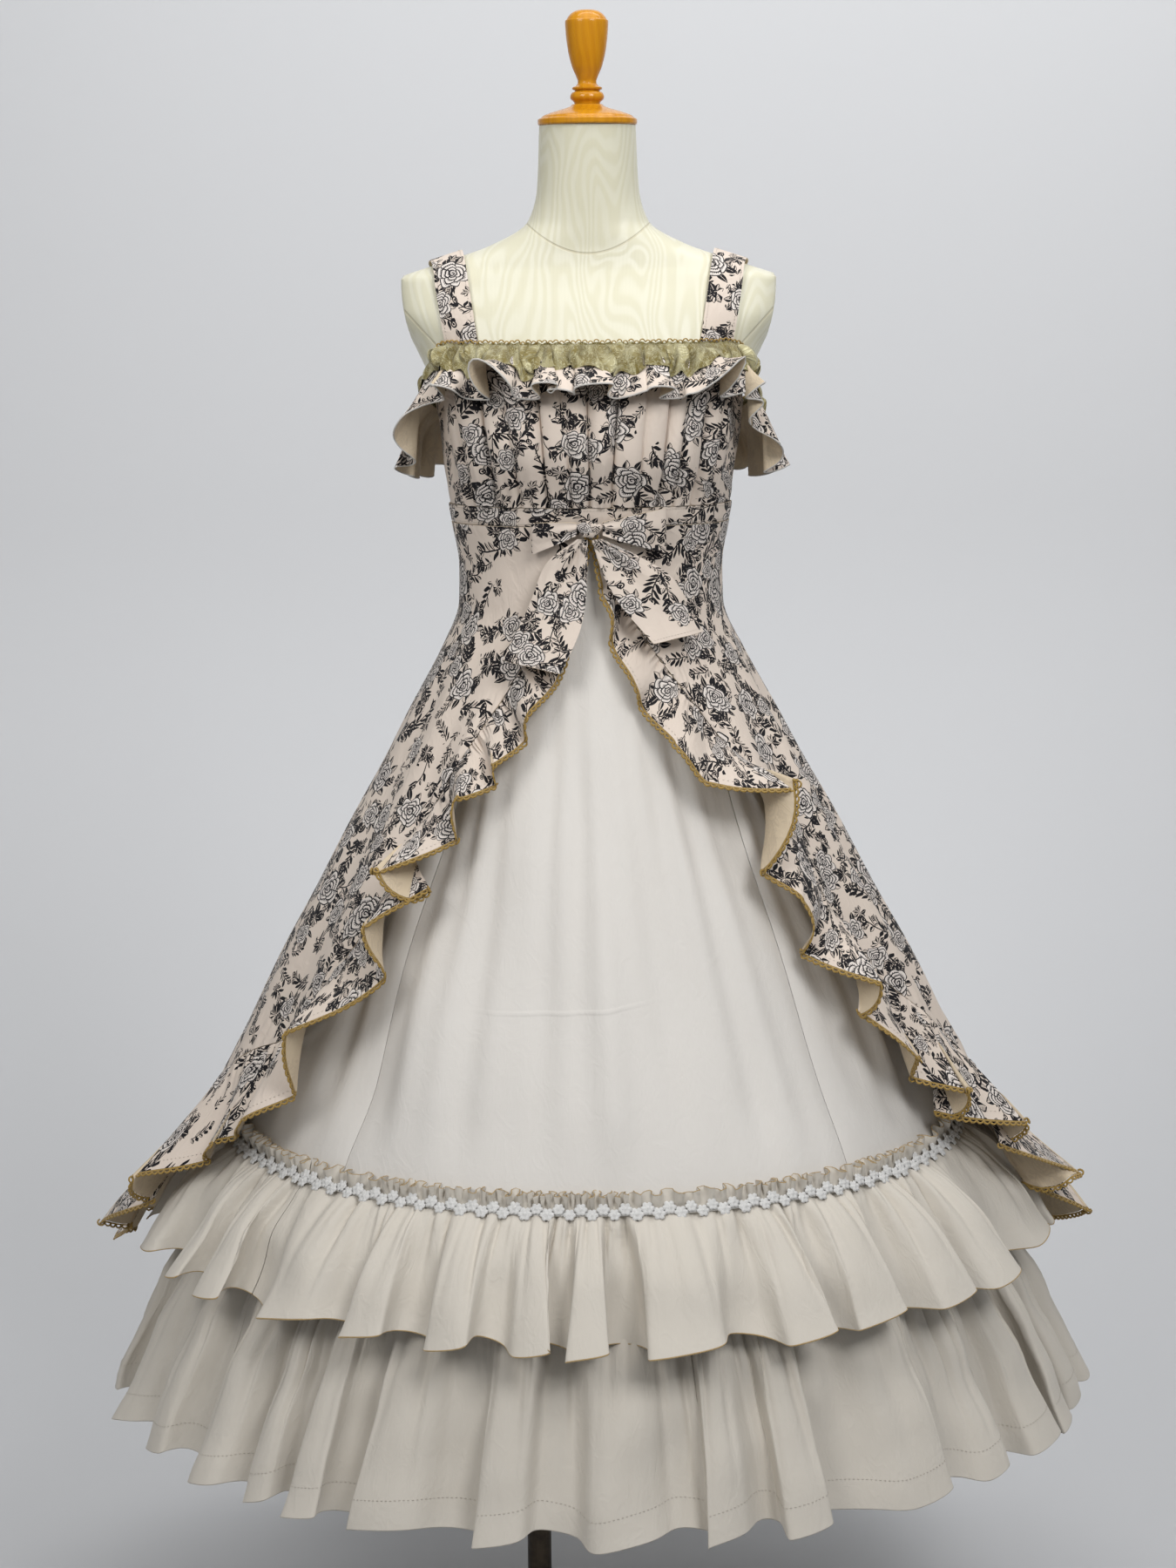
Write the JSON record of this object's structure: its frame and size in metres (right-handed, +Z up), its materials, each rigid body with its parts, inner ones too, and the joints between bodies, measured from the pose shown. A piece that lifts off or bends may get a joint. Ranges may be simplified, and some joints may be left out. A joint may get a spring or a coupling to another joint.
{
  "type": "jumper dress on dress form",
  "caption": "Sleeveless jumper dress with a gathered bodice, frilled neckline, tied sash, open floral overskirt and tiered underskirt, worn by a limbless dress form on a stand.",
  "frame": {"origin": "on the flat underside of the stand's base, straight below the middle of the dress form", "axes": "+Z up to the finial, -Y the dress's front, +X the wearer's left"},
  "size_m": [1.0344, 1.0148, 1.718],
  "materials": {
    "floral_cotton": "woven cotton with a dark flower print on beige pink",
    "ivory_cotton": "plain woven cotton",
    "gold_lace": "gold coloured lace and picot braid",
    "white_lace": "white flower braid",
    "moire_cover": "moire silk cover",
    "honey_wood": "glossy varnish",
    "dark_metal": "dark bronze paint"
  },
  "bodies": {
    "root": {"form_body": "moire_cover", "neck_cap": "honey_wood", "finial": "honey_wood", "stand_pole": "dark_metal", "stand_base": "dark_metal", "bodice_front": "floral_cotton", "bodice_back_left": "floral_cotton", "bodice_back_right": "floral_cotton", "band_front": "floral_cotton", "band_back": "floral_cotton", "strap_left": "floral_cotton", "strap_right": "floral_cotton", "neck_frill_front": "floral_cotton", "neck_frill_left": "floral_cotton", "neck_frill_right": "floral_cotton", "overskirt_left": "floral_cotton", "overskirt_right": "floral_cotton", "flounce_left": "floral_cotton", "flounce_right": "floral_cotton", "sash_knot": "floral_cotton", "sash_loop_left": "floral_cotton", "sash_loop_right": "floral_cotton", "sash_tail_left": "floral_cotton", "sash_tail_right": "floral_cotton", "underskirt_front": "ivory_cotton", "underskirt_side_left": "ivory_cotton", "underskirt_side_right": "ivory_cotton", "underskirt_back_left": "ivory_cotton", "underskirt_back_right": "ivory_cotton", "tier_upper_front": "ivory_cotton", "tier_upper_left": "ivory_cotton", "tier_upper_right": "ivory_cotton", "tier_upper_back": "ivory_cotton", "tier_lower_front": "ivory_cotton", "tier_lower_left": "ivory_cotton", "tier_lower_right": "ivory_cotton", "tier_lower_back": "ivory_cotton", "neck_lace_front": "gold_lace", "neck_lace_left": "gold_lace", "neck_lace_right": "gold_lace", "picot_trim_left": "gold_lace", "picot_trim_right": "gold_lace", "lace_trim_front": "white_lace", "lace_trim_left": "white_lace", "lace_trim_right": "white_lace", "lace_trim_back": "white_lace"}
  },
  "joints": []
}
